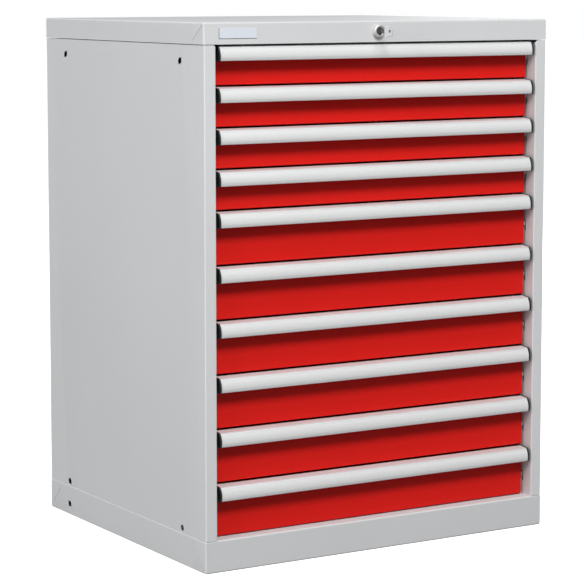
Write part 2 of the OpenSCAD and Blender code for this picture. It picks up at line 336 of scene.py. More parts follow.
def coatedSkinGroup(edgeHighlight):
    # powder coat or moulded plastic: fine peel, slow shade drift, settled dust, and lighter edges from a
    # painted highlight
    group, start, end = newGroup(
        "coatedSkin",
        {"Colour": ("Color", (0.6, 0.6, 0.6, 1)), "Drift": ("Float", 0.02), "Peel Scale": ("Float", 700.0),
         "Rough": ("Float", 0.5), "Dust": ("Float", 0.1), "Edge Highlight": ("Float", 0.1)},
        {"Colour": "Color", "Roughness": "Float", "Height": "Float"})
    given = start.outputs
    place = addNode(group, "TexCoord").outputs["Object"]
    broad = addNode(group, "TexNoise", {"Vector": place, "Scale": 2.4, "Detail": 4.0}).outputs["Fac"]
    peel = addNode(group, "TexNoise", {"Vector": place, "Scale": given["Peel Scale"], "Detail": 2.0})
    cells = addNode(group, "TexVoronoi", {"Vector": place, "Scale": given["Peel Scale"]})
    facing = addNode(group, "NewGeometry").outputs["Normal"]
    upward = addNode(group, "SeparateXYZ", {0: facing}).outputs["Z"]
    settled = joined(group, "MULTIPLY", spread(group, upward, 0.5, 1.0, 0.0, 1.0), broad)
    dust = joined(group, "MULTIPLY", settled, given["Dust"])
    swing = joined(group, "MULTIPLY", spread(group, broad, 0.3, 0.7, -1.0, 1.0), given["Drift"])
    grain = joined(group, "MULTIPLY", spread(group, peel.outputs["Fac"], 0.3, 0.7, -0.5, 0.5), given["Drift"])
    shade = joined(group, "ADD", 1.0, joined(group, "ADD", swing, grain))
    toned = scaled(group, given["Colour"], shade)
    # outer edges blended towards pale grey: a painted highlight
    edgeHighlightNode = group.nodes.new("ShaderNodeGroup")
    edgeHighlightNode.node_tree = edgeHighlight
    edgeHighlightNode.inputs["Breakup"].default_value = 0.4
    edges = joined(group, "MULTIPLY", edgeHighlightNode.outputs["Mask"], given["Edge Highlight"])
    edged = blended(group, edges, toned, (0.9, 0.9, 0.9, 1))
    dusty = blended(group, dust, edged, (0.68, 0.66, 0.62, 1))
    roughened = joined(group, "MULTIPLY", spread(group, peel.outputs["Fac"], 0.3, 0.7, -0.06, 0.06), 1.0)
    rough = joined(group, "ADD", joined(group, "ADD", given["Rough"], roughened), dust)
    bumps = joined(group, "ADD", peel.outputs["Fac"],
                   joined(group, "MULTIPLY", cells.outputs["Distance"], 0.5))
    group.links.new(dusty, end.inputs["Colour"])
    group.links.new(rough, end.inputs["Roughness"])
    group.links.new(bumps, end.inputs["Height"])
    return group


def drawnMetalGroup(edgeHighlight):
    # fine drawn or brushed lines along one direction, and a painted highlight that whitens the outer edges
    group, start, end = newGroup(
        "drawnMetal",
        {"Colour": ("Color", (0.8, 0.8, 0.8, 1)), "Stretch": ("Vector", (20.0, 2000.0, 2000.0)),
         "Drift": ("Float", 0.06), "Rough": ("Float", 0.35), "Edge Highlight": ("Float", 0.2)},
        {"Colour": "Color", "Roughness": "Float", "Height": "Float"})
    given = start.outputs
    place = addNode(group, "TexCoord").outputs["Object"]
    drawn = addNode(group, "VectorMath", {0: place, 1: given["Stretch"]}, operation="MULTIPLY").outputs[0]
    lines = addNode(group, "TexNoise", {"Vector": drawn, "Scale": 1.0, "Detail": 3.0}).outputs["Fac"]
    cloud = addNode(group, "TexNoise", {"Vector": place, "Scale": 9.0, "Detail": 3.0}).outputs["Fac"]
    # outer edges blended towards white: a painted highlight
    edgeHighlightNode = group.nodes.new("ShaderNodeGroup")
    edgeHighlightNode.node_tree = edgeHighlight
    edgeHighlightNode.inputs["Breakup"].default_value = 0.5
    swing = joined(group, "MULTIPLY", spread(group, lines, 0.3, 0.7, -1.0, 1.0), given["Drift"])
    toned = scaled(group, given["Colour"], joined(group, "ADD", 1.0, swing))
    edges = joined(group, "MULTIPLY", edgeHighlightNode.outputs["Mask"], given["Edge Highlight"])
    group.links.new(blended(group, edges, toned, (1, 1, 1, 1)), end.inputs["Colour"])
    hazy = joined(group, "ADD", given["Rough"], spread(group, cloud, 0.3, 0.7, -0.05, 0.05))
    rough = joined(group, "ADD", hazy, joined(group, "MULTIPLY", swing, 0.8))
    group.links.new(rough, end.inputs["Roughness"])
    group.links.new(lines, end.inputs["Height"])
    return group


edgeHighlight = edgeHighlightGroup()
coatedSkin = coatedSkinGroup(edgeHighlight)
drawnMetal = drawnMetalGroup(edgeHighlight)


def newFinish(name, group, values, shader, bumpHeight):
    # one shared group in its own material, with this finish's values
    material = bpy.data.materials.new(name)
    material.use_nodes = True
    tree = material.node_tree
    surface = tree.nodes["Principled BSDF"]
    skin = tree.nodes.new("ShaderNodeGroup")
    skin.node_tree = group
    for key, value in values.items():
        skin.inputs[key].default_value = value
    for key, value in shader.items():
        surface.inputs[key].default_value = value
    bump = addNode(tree, "Bump", {"Height": skin.outputs["Height"], "Strength": 1.0, "Distance": bumpHeight})
    tree.links.new(skin.outputs["Colour"], surface.inputs["Base Color"])
    tree.links.new(skin.outputs["Roughness"], surface.inputs["Roughness"])
    tree.links.new(bump.outputs["Normal"], surface.inputs["Normal"])
    return material


# the edge value in each finish sets the strength of its painted edge highlight
housingPaint = newFinish("housingPaint", coatedSkin,
                         {"Colour": (0.596, 0.603, 0.611, 1), "Drift": 0.02, "Peel Scale": 650.0,
                          "Rough": 0.55, "Dust": 0.06, "Edge Highlight": 0.08},
                         {"Specular IOR Level": 0.25}, 0.05 * mm)
frontPaint = newFinish("frontPaint", coatedSkin,
                       {"Colour": (0.62, 0.008, 0.005, 1), "Drift": 0.03, "Peel Scale": 650.0,
                        "Rough": 0.5, "Dust": 0.01, "Edge Highlight": 0.02},
                       {"Specular IOR Level": 0.16}, 0.05 * mm)
trayPaint = newFinish("trayPaint", coatedSkin,
                      {"Colour": (0.5, 0.515, 0.52, 1), "Drift": 0.02, "Peel Scale": 650.0,
                       "Rough": 0.5, "Dust": 0.05, "Edge Highlight": 0.2},
                      {"Specular IOR Level": 0.4}, 0.05 * mm)
capPlastic = newFinish("capPlastic", coatedSkin,
                       {"Colour": (0.012, 0.012, 0.013, 1), "Drift": 0.1, "Peel Scale": 1400.0,
                        "Rough": 0.42, "Dust": 0.01, "Edge Highlight": 0.01},
                       {"Specular IOR Level": 0.45}, 0.03 * mm)
stripCover = newFinish("stripCover", coatedSkin,
                       {"Colour": (0.66, 0.665, 0.665, 1), "Drift": 0.012, "Peel Scale": 260.0,
                        "Rough": 0.32, "Dust": 0.0, "Edge Highlight": 0.0},
                       {"Specular IOR Level": 0.4, "Coat Weight": 0.15, "Coat Roughness": 0.25}, 0.01 * mm)
platePaint = newFinish("platePaint", coatedSkin,
                       {"Colour": (0.66, 0.7, 0.76, 1), "Drift": 0.02, "Peel Scale": 400.0,
                        "Rough": 0.3, "Dust": 0.0, "Edge Highlight": 0.1},
                       {"Coat Weight": 0.4, "Coat Roughness": 0.1}, 0.01 * mm)
rollerNylon = newFinish("rollerNylon", coatedSkin,
                        {"Colour": (0.045, 0.045, 0.048, 1), "Drift": 0.08, "Peel Scale": 900.0,
                         "Rough": 0.38, "Dust": 0.02, "Edge Highlight": 0.03},
                        {}, 0.02 * mm)
handleAluminium = newFinish("handleAluminium", drawnMetal,
                            {"Colour": (0.7, 0.705, 0.71, 1), "Stretch": (6.0, 2500.0, 2500.0),
                             "Drift": 0.05, "Rough": 0.5, "Edge Highlight": 0.2},
                            {"Metallic": 0.35}, 0.006 * mm)
zincSteel = newFinish("zincSteel", drawnMetal,
                      {"Colour": (0.62, 0.64, 0.67, 1), "Stretch": (120.0, 30.0, 120.0),
                       "Drift": 0.1, "Rough": 0.4, "Edge Highlight": 0.2},
                      {"Metallic": 1.0}, 0.01 * mm)
lockNickel = newFinish("lockNickel", drawnMetal,
                       {"Colour": (0.72, 0.71, 0.7, 1), "Stretch": (900.0, 900.0, 900.0),
                        "Drift": 0.05, "Rough": 0.45, "Edge Highlight": 0.2},
                       {"Metallic": 0.8}, 0.004 * mm)
# the lock's nickel copied dark for the plug: painted shade and painted reflection deep in the ring
plugShadedNickel = newFinish("plugShadedNickel", drawnMetal,
                      {"Colour": (0.16, 0.16, 0.16, 1), "Stretch": (900.0, 900.0, 900.0),
                       "Drift": 0.1, "Rough": 0.4, "Edge Highlight": 0.2},
                      {"Metallic": 0.8}, 0.004 * mm)
keySteel = newFinish("keySteel", drawnMetal,
                     {"Colour": (0.7, 0.705, 0.71, 1), "Stretch": (900.0, 60.0, 1800.0),
                      "Drift": 0.08, "Rough": 0.4, "Edge Highlight": 0.1},
                     {"Metallic": 0.45}, 0.006 * mm)
print("finishes ready")


wall = {
    "sheet": 1.5 * mm,
    "bend": 2.4 * mm,
    "postDepth": 38 * mm,
    "postReturn": 16 * mm,
    "postMargin": 4 * mm,
    "rearFold": 15 * mm,
    "holeRadius": 6 * mm,
    "holeDepths": (90 * mm, 562 * mm),
    "holeAbove": 9 * mm,
    "holeBelow": 30 * mm,
    "cornerCut": 4 * mm,
    "reveal": 0.6 * mm,
    "tabSlotDepth": 28.5 * mm,             # slots in the right post, one for each tab of the locking bar
    "tabSlotAbove": 34.5 * mm,
    "tabSlotHalves": (0, 3 * mm, 10 * mm),
}


def makeSideWall(name, node, side):
    top = wallHigh.z - wall["reveal"]
    rear = frontY + wall["postDepth"]
    plan = [(wallLow.x + wall["postReturn"], rear), (wallLow.x, rear), (wallLow.x, frontY),
            (wallHigh.x, frontY), (wallHigh.x, backY), (wallHigh.x - wall["rearFold"], backY)]
    bm = foldedSheet([(x, y, wallLow.z) for x, y in plan], (0, 0, top - wallLow.z), wall["bend"])
    for depth in wall["holeDepths"]:
        for height in (wallLow.z + wall["holeAbove"], wallHigh.z - wall["holeBelow"]):
            punchHole(bm, Vector((wallHigh.x, frontY + depth, height)), axisX, wall["holeRadius"])
    if side > 0:
        for drawer in drawerNames:
            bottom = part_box(drawer + "_front")[0].z
            place = (wallLow.x, frontY + wall["tabSlotDepth"], bottom + wall["tabSlotAbove"])
            openWindow(bm, Vector(place), axisX, wall["tabSlotHalves"])
    post = [face for face in bm.faces if face.calc_center_median().x < wallHigh.x - wall["postMargin"]
            and face.calc_center_median().y < rear - 1 * mm]
    geom = {part for face in post for part in (face, *face.edges, *face.verts)}
    bmesh.ops.bisect_plane(bm, geom=list(geom), dist=1e-6, clear_outer=True,
                           plane_co=(wallLow.x + wall["cornerCut"], frontY, top), plane_no=(-1, 0, 1))
    faceAway(bm, (wallLow + wallHigh) / 2)
    thicken(bm, wall["sheet"])
    if side < 0:
        flip(bm, bm.verts[:], bm.faces[:])
    return finishPiece(name, bm, [housingPaint], "cabinet", [node])


makeSideWall("leftSideWall", "left_side_wall", -1)
makeSideWall("rightSideWall", "right_side_wall", 1)

upright = {
    "depths": (90 * mm, 562 * mm),
    "half": 20 * mm,
    "sheet": 1.5 * mm,
    "bend": 2 * mm,
    "accessRadius": 6.5 * mm,
    "webInset": 1.5 * mm,
    "gap": 0.2 * mm,
    "headRoom": 3 * mm,
    "firstSlot": 30 * mm,
    "lastSlot": 45 * mm,
    "slotPitch": 25 * mm,
    "slotShifts": (-9 * mm, 9 * mm),
    "slotHalves": (0, 1.6 * mm, 7 * mm),
}


def gather(parts):
    # several meshes as one
    whole = bmesh.new()
    for bm in parts:
        part = bpy.data.meshes.new("part")
        bm.to_mesh(part)
        bm.free()
        whole.from_mesh(part)
        bpy.data.meshes.remove(part)
    return whole


def makeUprights():
    parts = []
    webX = wallLow.x + upright["webInset"]
    edgeX = wallHigh.x - wall["sheet"] - upright["gap"]
    bottom, top = baseHigh.z + upright["gap"], coverLow.z - upright["headRoom"]
    for depth in upright["depths"]:
        y0, y1 = frontY + depth - upright["half"], frontY + depth + upright["half"]
        bm = foldedSheet([(edgeX, y0, bottom), (webX, y0, bottom), (webX, y1, bottom), (edgeX, y1, bottom)],
                         (0, 0, top - bottom), upright["bend"])
        height = bottom + upright["firstSlot"]
        while height < top - upright["lastSlot"]:
            for shift in upright["slotShifts"]:
                openWindow(bm, Vector((webX, frontY + depth + shift, height)), axisX, upright["slotHalves"])
            height += upright["slotPitch"]
        for z in (wallLow.z + wall["holeAbove"], wallHigh.z - wall["holeBelow"]):
            punchHole(bm, Vector((webX, frontY + depth, z)), axisX, upright["accessRadius"])
        faceAway(bm, (edgeX, frontY + depth, (bottom + top) / 2))
        thicken(bm, upright["sheet"])
        parts.append(bm)
    whole = gather(parts)
    mirrorCopy(whole)
    finishPiece("uprights", whole, [zincSteel], "cabinet", ())


makeUprights()

pan = {
    "sheet": 1.5 * mm,
    "bend": 3 * mm,
    "coverReturn": 14 * mm,
    "plinthFold": 22 * mm,
    "lockBore": 9.6 * mm,
    "plinthHole": (562 * mm, 22.5 * mm),
    "seamWidth": 1.0 * mm,
    "seamDepth": 0.7 * mm,
    "coverSeam": (42 * mm, 967 * mm),      # where the upright seam turns into the mitre
    "plinthSeam": (44 * mm, 46 * mm),
    "cornerInset": 2 * mm,
    "plinthCorner": 3 * mm,
}


def openPan(low, high, folds, bend):
    # a box open below, with its front, back and side edges folded in by folds
    bm = bmesh.new()
    addBlock(bm, low, high)
    under = min(bm.faces, key=lambda face: face.calc_center_median().z)
    bmesh.ops.delete(bm, geom=[under], context="FACES_ONLY")
    if folds:
        made = bmesh.ops.extrude_edge_only(bm, edges=openEdges(bm))["geom"]
        middle = (Vector(low) + Vector(high)) / 2
        for vert in vertsOf(made):
            vert.co.x += folds if vert.co.x < middle.x else -folds
            vert.co.y += folds if vert.co.y < middle.y else -folds
    bm.normal_update()
    roundEdges(bm, foldEdges(bm, foldAngle), bend, 5)
    return bm


def scribeMitre(bm, sideX, along, seam, rimZ, cornerZ):
    # a welded corner flap: a short upright seam from the rim, then a mitre to the corner
    seamY, seamZ = seam
    standY = (frontY if along > 0 else backY) + along * seamY        # along is 1 at the front, -1 behind
    standing = Vector((sideX, standY, (rimZ + seamZ) / 2))
    window = cutWindow(bm, standing, axisX, (0, pan["seamWidth"] / 2, abs(rimZ - seamZ) / 2))
    bmesh.ops.inset_region(bm, faces=[window], thickness=pan["seamWidth"] * 0.2, depth=-pan["seamDepth"])
    bm.normal_update()
    run = Vector((0, along * (pan["cornerInset"] - seamY), cornerZ - seamZ))
    middle = Vector((sideX, standY, seamZ)) + run * 0.5
    scribe(bm, middle, axisX, (0, -run.z, run.y), pan["seamWidth"], pan["seamDepth"])


def makeTopCover():
    low = coverLow + Vector((0, 0, wall["reveal"]))
    bm = openPan(low, coverHigh, 0, pan["bend"])
    frontRim = [edge for edge in openEdges(bm) if all(vert.co.y < frontY + touching for vert in edge.verts)]
    drawOut(bm, frontRim, (0, pan["coverReturn"], 0))
    punchHole(bm, Vector((lockX, frontY, lockZ)), axisY, pan["lockBore"])
    faceAway(bm, (0, 0, coverLow.z))
    thicken(bm, pan["sheet"])
    for sideX in (coverLow.x, coverHigh.x):
        scribeMitre(bm, sideX, 1, pan["coverSeam"], coverLow.z, coverHigh.z - pan["cornerInset"])
    finishPiece("topCover", bm, [housingPaint], "cabinet", ["top_cover"])


def makeBase():
    bm = openPan(baseLow, baseHigh, pan["plinthFold"], pan["bend"])
    depth, height = pan["plinthHole"]
    for sideX in (baseLow.x, baseHigh.x):
        punchHole(bm, Vector((sideX, frontY + depth, height)), axisX, wall["holeRadius"])
    faceAway(bm, (0, 0, (baseLow.z + baseHigh.z) / 2))
    thicken(bm, pan["sheet"])
    for sideX in (baseLow.x, baseHigh.x):
        for along in (1, -1):
            scribeMitre(bm, sideX, along, pan["plinthSeam"], baseHigh.z, pan["plinthCorner"])
    finishPiece("plinth", bm, [housingPaint], "cabinet", ["base"])


makeTopCover()
makeBase()

rearPanel = {
    "bend": 2.4 * mm,
    "rivetInset": 24 * mm,
    "rivetRows": 7,
    "rivet": ((0, -0.4 * mm), (3 * mm, -0.4 * mm), (3 * mm, -0.1 * mm), (2 * mm, 0.12 * mm), (0, 0.15 * mm)),
    "ribShares": (0.33, 0.67),             # of the panel's height
    "ribHalves": (300 * mm, 0, 16 * mm),
    "ribSlope": 5 * mm,
    "ribDepth": 1.2 * mm,
    "sharpAngle": 12,                      # keeps the ribs' shallow edges
}


def makeBackPanel():
    # a shallow pan with two pressed ribs and a row of blind rivets up each side
    bm = bmesh.new()
    addBlock(bm, backLow, backHigh)
    inner = min(bm.faces, key=lambda face: face.calc_center_median().y)
    bmesh.ops.delete(bm, geom=[inner], context="FACES_ONLY")
    roundEdges(bm, foldEdges(bm), rearPanel["bend"], 8)
    height = backHigh.z - backLow.z
    faceAway(bm, (0, 0, (backLow.z + backHigh.z) / 2))
    thicken(bm, wall["sheet"])
    for share in rearPanel["ribShares"]:
        place = Vector((0, backHigh.y, backLow.z + height * share))
        window = cutWindow(bm, place, axisY, rearPanel["ribHalves"])
        bmesh.ops.inset_region(bm, faces=[window], thickness=rearPanel["ribSlope"],
                               depth=-rearPanel["ribDepth"])
        bm.normal_update()
    for side in (-1, 1):
        for row in range(rearPanel["rivetRows"]):
            share = (row + 0.5) / rearPanel["rivetRows"]
            place = (side * (backHigh.x - rearPanel["rivetInset"]), backHigh.y, backLow.z + height * share)
            addLathe(bm, rearPanel["rivet"], place, (0, 1, 0), 32)
    finishPiece("backPanel", bm, [housingPaint], "cabinet", ["back_panel"],
                rearPanel["sharpAngle"])


makeBackPanel()

slide = {
    "channel": 34 * mm,
    "sheet": 1.5 * mm,
    "bend": 2 * mm,
    "aboveFoot": 12 * mm,      # channels above a front's lower edge
    "railLip": 12 * mm,
    "bolt": ((0, 0), (4.5 * mm, 0), (4.5 * mm, 1.8 * mm), (3.6 * mm, 2.4 * mm), (0, 2.4 * mm)),
}


def channel(openX, webX, y0, y1, z):
    top = z + slide["channel"]
    bm = foldedSheet([(openX, y0, z), (webX, y0, z), (webX, y0, top), (openX, y0, top)], (0, y1 - y0, 0),
                     slide["bend"])
    faceAway(bm, (openX, (y0 + y1) / 2, z + slide["channel"] / 2))
    thicken(bm, slide["sheet"])
    return bm


def makeCabinetRails():
    parts = []
    for drawer in drawerNames:
        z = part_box(drawer + "_front")[0].z + slide["aboveFoot"]
        rail = channel(railHigh.x - slide["railLip"], railHigh.x, railLow.y, railHigh.y, z)
        for depth in upright["depths"]:                    # bolts into the uprights
            place = (railHigh.x - slide["sheet"], frontY + depth, z + slide["channel"] / 2)
            addLathe(rail, slide["bolt"], place, (-1, 0, 0), 16)
        parts.append(rail)
    whole = gather(parts)
    mirrorCopy(whole)
    finishPiece("cabinetRails", whole, [zincSteel], "cabinet", ["cabinet_rails"])


makeCabinetRails()

plate = {                      # in millimetres
    "low": (-349, 971.2),
    "high": (-272, 989.5),
    "thickness": 0.9,
    "backing": 0.3,
    "lap": 0.05,
    "shadowGap": 0.8,
}


def makeLabelPlate():
    # a blank plate on a slightly larger dark backing, whose rim is a painted shadow round the plate
    bm = bmesh.new()
    (x0, z0), (x1, z1), gap = plate["low"], plate["high"], plate["shadowGap"]
    addBlock(bm, at(x0 - gap, -plate["backing"], z0 - gap), at(x1, 0, z1), 0.1 * mm)
    for face in bm.faces:
        face.material_index = 1
    addBlock(bm, at(x0, -plate["thickness"], z0), at(x1, plate["lap"] - plate["backing"], z1), 0.25 * mm)
    finishPiece("labelPlate", bm, [platePaint, capPlastic], "cabinet")


makeLabelPlate()
print("housing made")


lock = {
    "ringRadius": 12 * mm,
    "boreRadius": 7.05 * mm,
    "barrelRadius": 9.5 * mm,
    "barrelEnd": 20 * mm,
    "faceRecess": 0.3 * mm,
    "keyway": (1.3 * mm, 0, 4.2 * mm),
    "keywayDepth": 14 * mm,
    "camRadius": 10 * mm,
    "pin": ((0, 24 * mm), (2.5 * mm, 24 * mm), (2.5 * mm, 31.6 * mm), (2.1 * mm, 32 * mm), (0, 32 * mm)),
    "pinReach": 4 * mm,        # the pin stands up and to the right at rest
}


def makeLock():
    centre = Vector((lockX, frontY, lockZ))
    proud = frontY - ringLow.y
    ring, bore, barrel, end = lock["ringRadius"], lock["boreRadius"], lock["barrelRadius"], lock["barrelEnd"]
    bm = bmesh.new()
    addLathe(bm, [(bore, end), (barrel, end), (barrel, 0.05 * mm), (ring - 0.4 * mm, 0.05 * mm),
                  (ring, -0.4 * mm), (ring, 1.6 * mm - proud), (ring - 0.5 * mm, 0.6 * mm - proud),
                  (ring - 1.7 * mm, -proud), (bore + 1.4 * mm, -proud), (bore + 0.5 * mm, 0.4 * mm - proud),
                  (bore, 1.3 * mm - proud)], centre, (0, 1, 0), 48, True)
    finishPiece("lockRing", bm, [lockNickel], "cabinet", ["lock_housing"])

    bm = bmesh.new()
    plug = bore - 0.15 * mm
    rim = plugLow.y - frontY
    face = rim + lock["faceRecess"]
    cam, camEdge = lock["camRadius"], lock["camRadius"] - 0.3 * mm
    addLathe(bm, [(0, face), (plug - 1 * mm, face), (plug - 0.7 * mm, rim), (plug - 0.3 * mm, rim),
                  (plug, rim + 0.5 * mm), (plug, end + 0.4 * mm), (camEdge, end + 0.5 * mm),
                  (cam, end + 0.8 * mm), (cam, end + 4.2 * mm), (camEdge, end + 4.5 * mm),
                  (0, end + 4.5 * mm)], centre, (0, 1, 0), 40)
    bmesh.ops.dissolve_limit(bm, angle_limit=0.01, verts=bm.verts[:], edges=bm.edges[:])
    bm.normal_update()
    window = cutWindow(bm, Vector((lockX, frontY + face, lockZ)), axisY, lock["keyway"])
    sunk = bmesh.ops.extrude_face_region(bm, geom=[window])["geom"]
    bmesh.ops.translate(bm, verts=vertsOf(sunk), vec=(0, lock["keywayDepth"], 0))
    bmesh.ops.delete(bm, geom=[window], context="FACES")
    pinPlace = (lockX + lock["pinReach"], frontY, lockZ + lock["pinReach"])
    addLathe(bm, lock["pin"], pinPlace, (0, 1, 0), 20)
    finishPiece("lockPlug", bm, [plugShadedNickel], "lock", ["lock_plug"])


makeLock()

keyShape = {
    "bowLength": 27 * mm,
    "shoulder": 10.8 * mm,     # half heights of the bow, at the lock and at its far end
    "end": 7.2 * mm,
    "neck": 5 * mm,
    "thickness": 2 * mm,
    "holeRadius": 2.4 * mm,
    "holeInset": 8 * mm,
    "cornerRadius": 2 * mm,
    "collar": 5.6 * mm,        # half heights again
    "blade": 4 * mm,
    "bladeEnd": 13 * mm,
}


def makeKey():
    # a tapered bow with a ring hole, a collar and a blade
    half = keyShape["thickness"] / 2
    tip, bowEnd = keyLow.y, keyLow.y + keyShape["bowLength"]
    stages = [(bowEnd, keyShape["neck"]), (bowEnd - 4 * mm, keyShape["shoulder"]), (tip, keyShape["end"])]
    outline = [(y, -tall) for y, tall in stages] + [(y, tall) for y, tall in reversed(stages)]
    bm = bmesh.new()
    face = bm.faces.new([bm.verts.new((lockX - half, y, lockZ + z)) for y, z in outline])
    bm.normal_update()
    roundCorners(bm, [vert for vert in face.verts if vert.co.y < bowEnd - 1 * mm], keyShape["cornerRadius"])
    ringHole = Vector((lockX - half, tip + keyShape["holeInset"], lockZ))
    punchHole(bm, ringHole, axisX, keyShape["holeRadius"], 4)
    faceAway(bm, (lockX, (tip + bowEnd) / 2, lockZ))
    thicken(bm, 2 * half)
    roundEdges(bm, [edge for edge in bm.edges if edge.calc_face_angle(0) > squareAngle], 0.35 * mm, 2)
    bow = set(bm.faces)
    tall, collar = keyShape["blade"], keyShape["collar"]
    addBlock(bm, (lockX - half, bowEnd - 0.5 * mm, lockZ - tall),
             (lockX + half, frontY + keyShape["bladeEnd"], lockZ + tall), 0.3 * mm)
    addBlock(bm, (lockX - half * 1.25, bowEnd - 1 * mm, lockZ - collar),
             (lockX + half * 1.25, bowEnd + 2.5 * mm, lockZ + collar), 0.4 * mm)
    for face in bm.faces:
        if face not in bow:
            face.material_index = 1            # the collar and the blade get the plug's painted shade
    finishPiece("lockKey", bm, [keySteel, plugShadedNickel], "lock", ["key"])


makeKey()

barNode = frame["nodes"]["locking_bar"]
barNode.data.materials.clear()
barNode.data.materials.append(zincSteel)
print("lock made")


front = {
    "sheet": 1.2 * mm,
    "bend": 1.6 * mm,
    "fold": 10 * mm,
    # the catch, from the front's right edge, the face of the posts and the front's foot
    "catchLow": (-1 * mm, 33 * mm, 26 * mm),
    "catchHigh": (4.4 * mm, 38 * mm, 34 * mm),
}


def makeFront(name, drawer):
    low, high = (Vector(corner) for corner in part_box(drawer + "_front"))
    high.x = -low.x
    bm = bmesh.new()
    addBlock(bm, low, high)
    rear = max(bm.faces, key=lambda face: face.calc_center_median().y)
    bmesh.ops.delete(bm, geom=[rear], context="FACES_ONLY")
    made = bmesh.ops.extrude_edge_only(bm, edges=openEdges(bm))["geom"]
    middleZ = (low.z + high.z) / 2
    for vert in vertsOf(made):
        vert.co.x += front["fold"] if vert.co.x < 0 else -front["fold"]
        vert.co.z += front["fold"] if vert.co.z < middleZ else -front["fold"]
    bm.normal_update()
    roundEdges(bm, foldEdges(bm, foldAngle), front["bend"], 4)
    faceAway(bm, (low + high) / 2)
    thicken(bm, front["sheet"])
    corner = Vector((high.x, frontY, low.z))
    addBlock(bm, corner + Vector(front["catchLow"]), corner + Vector(front["catchHigh"]), 0.6 * mm)
    finishPiece(name + "Front", bm, [frontPaint], drawer, [drawer + "_front"])


tray = {
    "sheet": 1.2 * mm,
    "bend": 1.8 * mm,
    "runnerRoom": 11 * mm,
    "rimWidth": 5 * mm,
    "rimDrop": 8 * mm,
    "slotPitch": 25 * mm,
    "slotWidth": 2.4 * mm,
    "slotFoot": 8 * mm,
    "slotHead": 13 * mm,
    "firstSlot": 30 * mm,
    "slotMargin": 40 * mm,
    "endMargin": 60 * mm,
    "runnerDepths": (50 * mm, 612 * mm),
}


def makeTray(name, drawer):
    low, high = (Vector(corner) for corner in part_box(drawer + "_tray"))
    wallX = high.x - tray["runnerRoom"]
    high.z -= tray["sheet"]                                # the rims' own thickness lies on top
    bm = bmesh.new()
    addBlock(bm, (-wallX, low.y, low.z), (wallX, high.y, high.z))
    lid = max(bm.faces, key=lambda face: face.calc_center_median().z)
    bmesh.ops.delete(bm, geom=[lid], context="FACES_ONLY")
    for side in (-1, 1):
        rim = [edge for edge in openEdges(bm) if all(vert.co.z > high.z - touching for vert in edge.verts)
               and all(abs(vert.co.x - side * wallX) < touching for vert in edge.verts)]
        outer = [edge for edge in drawOut(bm, rim, (side * tray["rimWidth"], 0, 0))
                 if all(abs(vert.co.x) > wallX + tray["rimWidth"] - touching for vert in edge.verts)]
        drawOut(bm, outer, (0, 0, -tray["rimDrop"]))
    roundEdges(bm, foldEdges(bm, foldAngle), tray["bend"], 3)
    halfHeight = (high.z - low.z - tray["slotFoot"] - tray["slotHead"]) / 2
    middleZ = low.z + tray["slotFoot"] + halfHeight
    count = int((high.y - low.y - tray["slotMargin"]) / tray["slotPitch"])
    for side in (-1, 1):
        for step in range(count):
            place = Vector((side * wallX, low.y + tray["firstSlot"] + step * tray["slotPitch"], middleZ))
            openWindow(bm, place, axisX, (0, tray["slotWidth"] / 2, halfHeight))
    across = int((2 * wallX - tray["endMargin"]) / (2 * tray["slotPitch"]))
    for endY in (low.y, high.y):
        for step in range(-(across // 2), across // 2 + 1):
            place = Vector((step * 2 * tray["slotPitch"], endY, middleZ))
            openWindow(bm, place, axisY, (tray["slotWidth"] / 2, 0, halfHeight))
    faceAway(bm, (0, (low.y + high.y) / 2, high.z))
    thicken(bm, tray["sheet"])
    finishPiece(name + "Tray", bm, [trayPaint], drawer, [drawer + "_tray"])
    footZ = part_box(drawer + "_front")[0].z + slide["aboveFoot"]
    start, end = tray["runnerDepths"]
    bm = channel(high.x, wallX + 0.1 * mm, frontY + start, frontY + end, footZ)
    mirrorCopy(bm)
    finishPiece(name + "Runners", bm, [zincSteel], drawer, ())


grip = {
    # plain numbers are millimetres, up from the top of the drawer's bay or back from the posts' face
    "radius": 27 * mm,
    "centreY": 25.5,
    "centreZ": -21.0,
    "wall": 1.0 * mm,
    "topGap": 1.3 * mm,
    "lipStep": 0.9 * mm,
    "faceTop": -4.5,
    "upperLip": -6.0,
    "lowerLip": -24.4,
    "faceFoot": -27.4,
    "beadRadius": 1.6 * mm,
    "beadZ": -27.3,
    "ledge": ((25, -1.3), (25, -21.3), (23.4, -21.3), (23.4, -3.3), (6.4, -5.2), (4.9, -4.7), (4.6, -4.0),
              (5.1, -3.35)),
    "stripInset": 0.2 * mm,
    "stripGap": 0.25,
    "stripWall": 0.6 * mm,
}


def spinDown(bm, vert, centre, fromZ, toZ, radius, steps):
    # carries a corner down the handle's curve, from one height to another
    start, end = (math.asin((height - grip["centreZ"]) * mm / radius) for height in (fromZ, toZ))
    made = bmesh.ops.spin(bm, geom=[vert], cent=centre, axis=(1, 0, 0), angle=start - end, steps=steps,
                          use_duplicate=False)
    return vertsOf(made["geom_last"])[0]


def onCurve(x, top, height, radius):
    drop = (height - grip["centreZ"]) * mm
    return Vector((x, frontY + grip["centreY"] * mm - math.sqrt(radius ** 2 - drop ** 2), top + height * mm))


